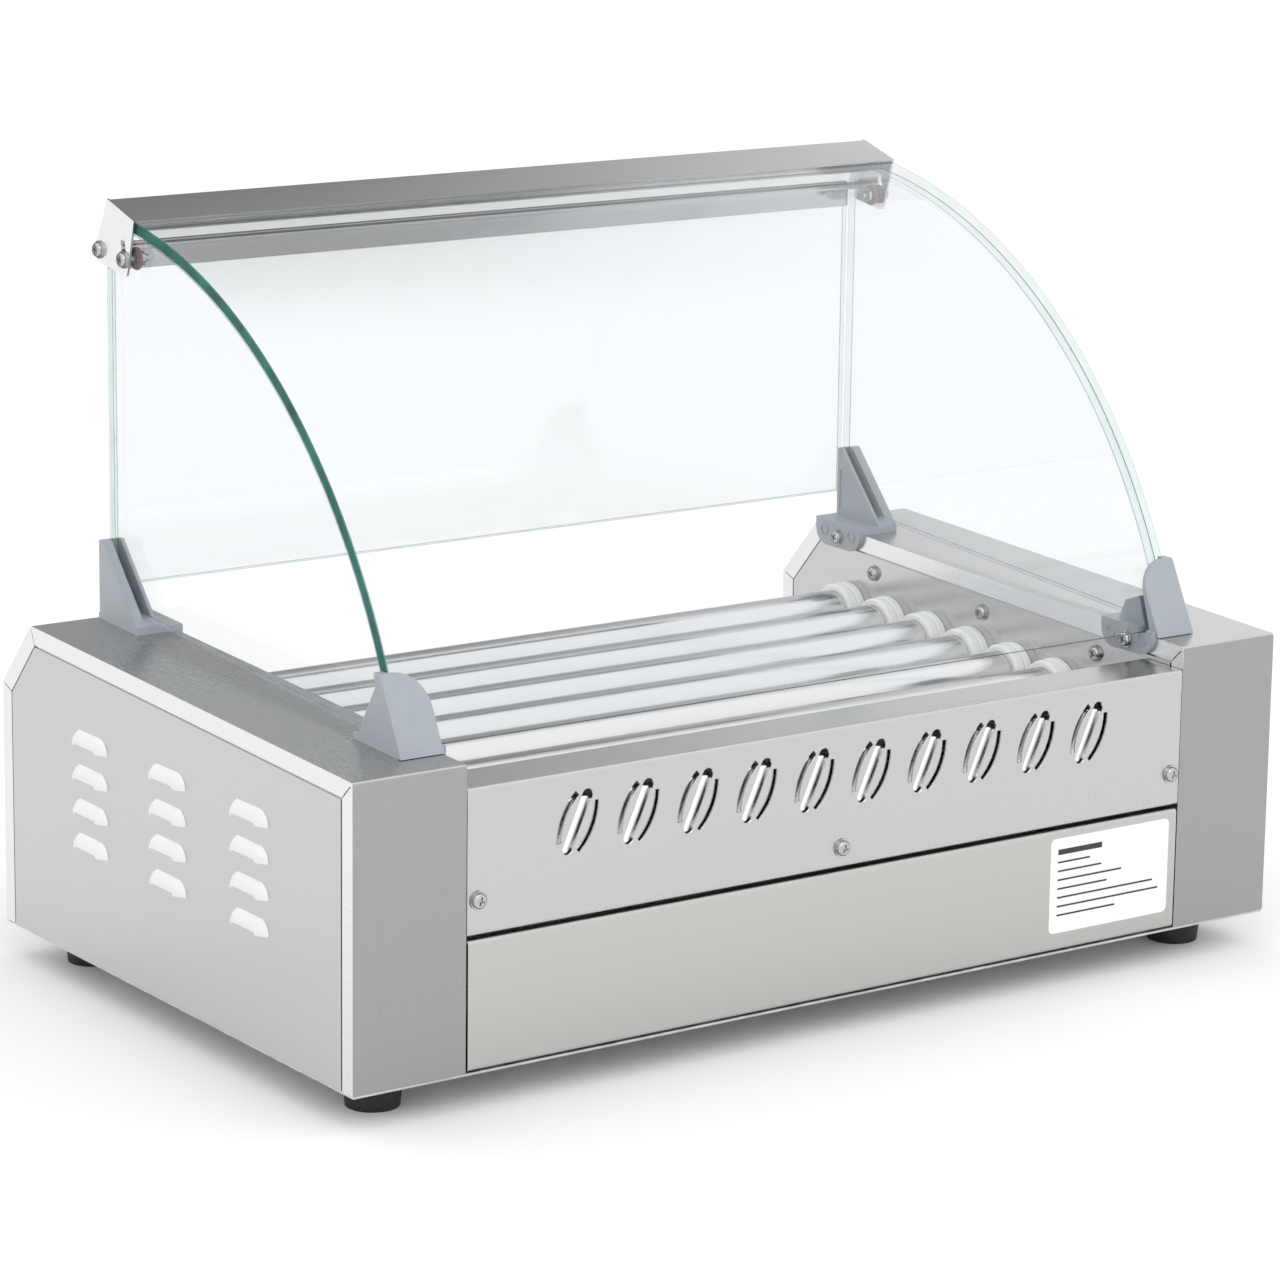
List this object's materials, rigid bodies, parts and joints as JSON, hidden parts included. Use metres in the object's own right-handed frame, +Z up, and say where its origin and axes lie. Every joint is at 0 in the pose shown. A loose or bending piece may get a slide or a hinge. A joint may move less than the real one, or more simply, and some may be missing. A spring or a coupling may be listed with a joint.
{
  "type": "roller grill",
  "caption": "Countertop sausage roller grill: driven chrome rollers between two stainless side housings, curved glass hood with a hinged rear pane, slide-out drip tray.",
  "frame": {"origin": "on the surface the feet stand on, under the middle of the grill's overall box", "axes": "+X to the right as the customer sees the front, +Y from the customer side to the operator side, +Z up"},
  "size_m": [0.588, 0.356, 0.408],
  "materials": {
    "brushed_stainless": "brushed along the long side of each face",
    "satin_stainless": "satin brushed, grain left to right",
    "galvanised_steel": "dull galvanised sheet",
    "cap_steel": "brushed, soft reflections",
    "polished_steel": "bright zinc or polished stainless",
    "clear_glass": "clear float glass with a green edge",
    "grey_moulding": "fine moulded texture",
    "red_rubber": "matt",
    "black_rubber": "matt moulded rubber",
    "white_ptfe": "turned PTFE, slightly waxy",
    "heater_sheath": "heat darkened steel sheath",
    "motor_casting": "die cast, as moulded",
    "oiled_steel": "dark oiled steel",
    "ivory_moulding": "heat resistant moulding",
    "black_moulding": "fine moulded texture",
    "amber_lens": "clear amber lens",
    "red_rocker": "glossy",
    "chromed_roller": "polished and chromed tube"
  },
  "bodies": {
    "casing": {"base_pan": "galvanised_steel", "left_housing": "brushed_stainless", "right_housing": "brushed_stainless", "left_louvre_panel": "brushed_stainless", "right_louvre_panel": "brushed_stainless", "left_bearing_plate": "satin_stainless", "right_bearing_plate": "satin_stainless", "front_panel": "satin_stainless", "front_cross_rail": "galvanised_steel", "rear_panel": "satin_stainless", "hood_cap": "cap_steel", "front_glass": "clear_glass", "left_glass": "clear_glass", "right_glass": "clear_glass", "left_front_bracket": "grey_moulding", "right_front_bracket": "grey_moulding", "left_rear_bracket": "grey_moulding", "right_rear_bracket": "grey_moulding", "panel_screws": "polished_steel", "hood_screws": "polished_steel", "hood_washers": "red_rubber", "feet": "black_rubber", "roller_bushings": "white_ptfe", "heating_elements": "heater_sheath", "element_supports": "galvanised_steel", "gear_motor": "motor_casting", "drive_chain": "oiled_steel", "thermostats": "ivory_moulding", "switch_frame": "black_moulding", "pilot_lamps": "amber_lens", "terminal_block": "ivory_moulding", "cable_gland": "black_moulding"},
    "rear_flap": {"rear_flap_glass": "clear_glass", "rear_flap_rail": "polished_steel"},
    "tray": {"drip_tray": "satin_stainless"},
    "left_knob": {"left_heat_knob": "black_moulding"},
    "right_knob": {"right_heat_knob": "black_moulding"},
    "rocker": {"switch_rocker": "red_rocker"},
    "motor_shaft": {"motor_sprocket": "oiled_steel"},
    "roller_1": {"roller_1_tube": "chromed_roller", "roller_1_sleeves": "white_ptfe", "roller_1_sprocket": "oiled_steel"},
    "roller_2": {"roller_2_tube": "chromed_roller", "roller_2_sleeves": "white_ptfe", "roller_2_sprocket": "oiled_steel"},
    "roller_3": {"roller_3_tube": "chromed_roller", "roller_3_sleeves": "white_ptfe", "roller_3_sprocket": "oiled_steel"},
    "roller_4": {"roller_4_tube": "chromed_roller", "roller_4_sleeves": "white_ptfe", "roller_4_sprocket": "oiled_steel"},
    "roller_5": {"roller_5_tube": "chromed_roller", "roller_5_sleeves": "white_ptfe", "roller_5_sprocket": "oiled_steel"},
    "roller_6": {"roller_6_tube": "chromed_roller", "roller_6_sleeves": "white_ptfe", "roller_6_sprocket": "oiled_steel"},
    "roller_7": {"roller_7_tube": "chromed_roller", "roller_7_sleeves": "white_ptfe", "roller_7_sprocket": "oiled_steel"}
  },
  "joints": [
    {"name": "roller_1_spin", "type": "hinge", "parent": "casing", "child": "roller_1", "pos_m": [0, 0.1117, 0.1385], "axis": [1, 0, 0], "continuous": true},
    {"name": "roller_2_spin", "type": "hinge", "parent": "casing", "child": "roller_2", "pos_m": [0, 0.0744, 0.13698], "axis": [1, 0, 0], "continuous": true},
    {"name": "roller_3_spin", "type": "hinge", "parent": "casing", "child": "roller_3", "pos_m": [0, 0.0371, 0.13545], "axis": [1, 0, 0], "continuous": true},
    {"name": "roller_4_spin", "type": "hinge", "parent": "casing", "child": "roller_4", "pos_m": [0, -0.0002, 0.13392], "axis": [1, 0, 0], "continuous": true},
    {"name": "roller_5_spin", "type": "hinge", "parent": "casing", "child": "roller_5", "pos_m": [0, -0.0375, 0.1324], "axis": [1, 0, 0], "continuous": true},
    {"name": "roller_6_spin", "type": "hinge", "parent": "casing", "child": "roller_6", "pos_m": [0, -0.0748, 0.13088], "axis": [1, 0, 0], "continuous": true},
    {"name": "roller_7_spin", "type": "hinge", "parent": "casing", "child": "roller_7", "pos_m": [0, -0.1121, 0.12935], "axis": [1, 0, 0], "continuous": true},
    {"name": "motor_shaft_spin", "type": "hinge", "parent": "casing", "child": "motor_shaft", "pos_m": [0.243, 0, 0.062], "axis": [1, 0, 0], "continuous": true},
    {"name": "rear_flap_hinge", "type": "hinge", "parent": "casing", "child": "rear_flap", "pos_m": [0, 0.1426, 0.3805], "axis": [1, 0, 0], "range_deg": [0, 95]},
    {"name": "drip_tray_slide", "type": "slide", "parent": "casing", "child": "tray", "axis": [0, -1, 0], "range_m": [0, 0.26]},
    {"name": "left_knob_turn", "type": "hinge", "parent": "casing", "child": "left_knob", "pos_m": [0.04, 0.1612, 0.082], "axis": [0, -1, 0], "range_deg": [0, 270]},
    {"name": "right_knob_turn", "type": "hinge", "parent": "casing", "child": "right_knob", "pos_m": [0.12, 0.1612, 0.082], "axis": [0, -1, 0], "range_deg": [0, 270]},
    {"name": "rocker_tilt", "type": "hinge", "parent": "casing", "child": "rocker", "pos_m": [-0.05, 0.1477, 0.084], "axis": [1, 0, 0], "range_deg": [0, 24]}
  ],
  "couplings": [
    {"joint": "roller_2_spin", "follows": "roller_1_spin", "ratio": 1},
    {"joint": "roller_3_spin", "follows": "roller_1_spin", "ratio": 1},
    {"joint": "roller_4_spin", "follows": "roller_1_spin", "ratio": 1},
    {"joint": "roller_5_spin", "follows": "roller_1_spin", "ratio": 1},
    {"joint": "roller_6_spin", "follows": "roller_1_spin", "ratio": 1},
    {"joint": "roller_7_spin", "follows": "roller_1_spin", "ratio": 1},
    {"joint": "motor_shaft_spin", "follows": "roller_1_spin", "ratio": 1}
  ]
}
